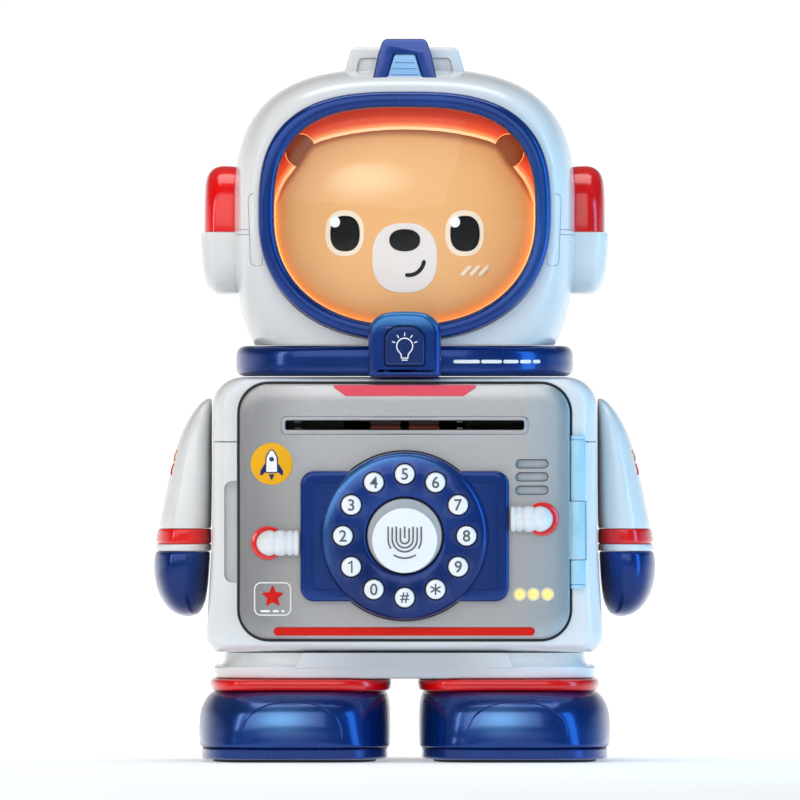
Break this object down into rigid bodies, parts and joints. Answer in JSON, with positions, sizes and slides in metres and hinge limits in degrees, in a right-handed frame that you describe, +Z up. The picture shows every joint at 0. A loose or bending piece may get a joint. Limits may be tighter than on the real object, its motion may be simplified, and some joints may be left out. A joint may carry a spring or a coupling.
{
  "type": "toy atm savings bank",
  "caption": "Free-standing toy cash machine bank shaped as an astronaut bear: hinged front door with dial keys, banknote slot with feed rollers, lit visor face and a rear coin slot.",
  "frame": {"origin": "middle of the rectangle that the two feet stand on, at floor level", "axes": "+Z up, the door and visor face -Y, +X to the right of a person who faces the door"},
  "size_m": [0.174, 0.128, 0.25],
  "materials": {
    "white_plastic": "gloss",
    "navy_plastic": "gloss",
    "red_plastic": "gloss",
    "silver_plate": "satin",
    "face_tan": "satin",
    "reflector_orange": "satin",
    "clear_lens": "gloss",
    "steel": "satin",
    "black_plastic": "matte",
    "roller_rubber": "matte",
    "circuit_board": "satin",
    "indicator_amber": "gloss",
    "battery_cell": "satin",
    "key_white": "gloss"
  },
  "bodies": {
    "case": {"torso_front_shell": "white_plastic", "torso_rear_shell": "white_plastic", "vault_partition": "white_plastic", "battery_cells": "battery_cell", "hinge_pin": "steel", "hip_base": "white_plastic", "boot_left": "navy_plastic", "boot_right": "navy_plastic", "boot_ring_left": "red_plastic", "boot_ring_right": "red_plastic", "sole_left": "navy_plastic", "sole_right": "navy_plastic", "arm_left": "white_plastic", "arm_right": "white_plastic", "hand_left": "navy_plastic", "hand_right": "navy_plastic", "collar_ring": "navy_plastic", "lamp_housing": "navy_plastic", "helmet_front_shell": "white_plastic", "helmet_rear_shell": "white_plastic", "visor_ring": "navy_plastic", "visor_lens": "clear_lens", "face_reflector": "reflector_orange", "bear_face": "face_tan", "head_light_board": "circuit_board", "ear_pod_left": "red_plastic", "ear_pod_right": "red_plastic", "crest_base": "white_plastic", "crest_arch": "navy_plastic"},
    "door": {"door_plate": "silver_plate", "door_housing": "white_plastic", "door_knuckle": "white_plastic", "note_slot_bezel": "black_plastic", "keypad_backing": "navy_plastic", "dial_ring": "navy_plastic", "hose_left": "white_plastic", "hose_right": "white_plastic", "main_circuit_board": "circuit_board", "speaker": "black_plastic", "indicator_light_pipe": "indicator_amber", "feed_motor": "steel", "latch_solenoid": "steel"},
    "lamp_button": {"lamp_button": "navy_plastic"},
    "battery_cover": {"battery_cover": "white_plastic"},
    "fingerprint_pad": {"fingerprint_pad": "key_white"},
    "feed_roller": {"feed_roller": "roller_rubber"},
    "pressure_roller": {"pressure_roller": "roller_rubber"},
    "latch_bolt": {"latch_bolt": "steel"},
    "key_0": {"key_0": "key_white"},
    "key_1": {"key_1": "key_white"},
    "key_2": {"key_2": "key_white"},
    "key_3": {"key_3": "key_white"},
    "key_4": {"key_4": "key_white"},
    "key_5": {"key_5": "key_white"},
    "key_6": {"key_6": "key_white"},
    "key_7": {"key_7": "key_white"},
    "key_8": {"key_8": "key_white"},
    "key_9": {"key_9": "key_white"},
    "key_star": {"key_star": "key_white"},
    "key_hash": {"key_hash": "key_white"}
  },
  "joints": [
    {"name": "door_hinge", "type": "hinge", "parent": "case", "child": "door", "pos_m": [0.0598, -0.0522, 0.08], "axis": [0, 0, 1], "range_deg": [0, 105]},
    {"name": "key_5_press", "type": "slide", "parent": "door", "child": "key_5", "axis": [0, 1, 0], "range_m": [0, 0.0009], "stiffness_N_per_m": 40, "springref_m": -0.002},
    {"name": "key_6_press", "type": "slide", "parent": "door", "child": "key_6", "axis": [0, 1, 0], "range_m": [0, 0.0009], "stiffness_N_per_m": 40, "springref_m": -0.002},
    {"name": "key_7_press", "type": "slide", "parent": "door", "child": "key_7", "axis": [0, 1, 0], "range_m": [0, 0.0009], "stiffness_N_per_m": 40, "springref_m": -0.002},
    {"name": "key_8_press", "type": "slide", "parent": "door", "child": "key_8", "axis": [0, 1, 0], "range_m": [0, 0.0009], "stiffness_N_per_m": 40, "springref_m": -0.002},
    {"name": "key_9_press", "type": "slide", "parent": "door", "child": "key_9", "axis": [0, 1, 0], "range_m": [0, 0.0009], "stiffness_N_per_m": 40, "springref_m": -0.002},
    {"name": "key_star_press", "type": "slide", "parent": "door", "child": "key_star", "axis": [0, 1, 0], "range_m": [0, 0.0009], "stiffness_N_per_m": 40, "springref_m": -0.002},
    {"name": "key_hash_press", "type": "slide", "parent": "door", "child": "key_hash", "axis": [0, 1, 0], "range_m": [0, 0.0009], "stiffness_N_per_m": 40, "springref_m": -0.002},
    {"name": "key_0_press", "type": "slide", "parent": "door", "child": "key_0", "axis": [0, 1, 0], "range_m": [0, 0.0009], "stiffness_N_per_m": 40, "springref_m": -0.002},
    {"name": "key_1_press", "type": "slide", "parent": "door", "child": "key_1", "axis": [0, 1, 0], "range_m": [0, 0.0009], "stiffness_N_per_m": 40, "springref_m": -0.002},
    {"name": "key_2_press", "type": "slide", "parent": "door", "child": "key_2", "axis": [0, 1, 0], "range_m": [0, 0.0009], "stiffness_N_per_m": 40, "springref_m": -0.002},
    {"name": "key_3_press", "type": "slide", "parent": "door", "child": "key_3", "axis": [0, 1, 0], "range_m": [0, 0.0009], "stiffness_N_per_m": 40, "springref_m": -0.002},
    {"name": "key_4_press", "type": "slide", "parent": "door", "child": "key_4", "axis": [0, 1, 0], "range_m": [0, 0.0009], "stiffness_N_per_m": 40, "springref_m": -0.002},
    {"name": "fingerprint_press", "type": "slide", "parent": "door", "child": "fingerprint_pad", "axis": [0, 1, 0], "range_m": [0, 0.0009], "stiffness_N_per_m": 80, "springref_m": -0.002},
    {"name": "lamp_button_press", "type": "slide", "parent": "case", "child": "lamp_button", "axis": [0, 1, 0], "range_m": [0, 0.0009], "stiffness_N_per_m": 60, "springref_m": -0.002},
    {"name": "latch_slide", "type": "slide", "parent": "door", "child": "latch_bolt", "axis": [-1, 0, 0], "range_m": [0, 0.005]},
    {"name": "feed_roller_spin", "type": "hinge", "parent": "door", "child": "feed_roller", "pos_m": [0, -0.038, 0.1112], "axis": [1, 0, 0], "continuous": true},
    {"name": "pressure_roller_spin", "type": "hinge", "parent": "door", "child": "pressure_roller", "pos_m": [0, -0.038, 0.1188], "axis": [1, 0, 0], "continuous": true},
    {"name": "battery_cover_lift", "type": "slide", "parent": "case", "child": "battery_cover", "axis": [0, 1, 0], "range_m": [0, 0.02]}
  ],
  "couplings": [
    {"joint": "pressure_roller_spin", "follows": "feed_roller_spin", "ratio": -2.1739}
  ]
}
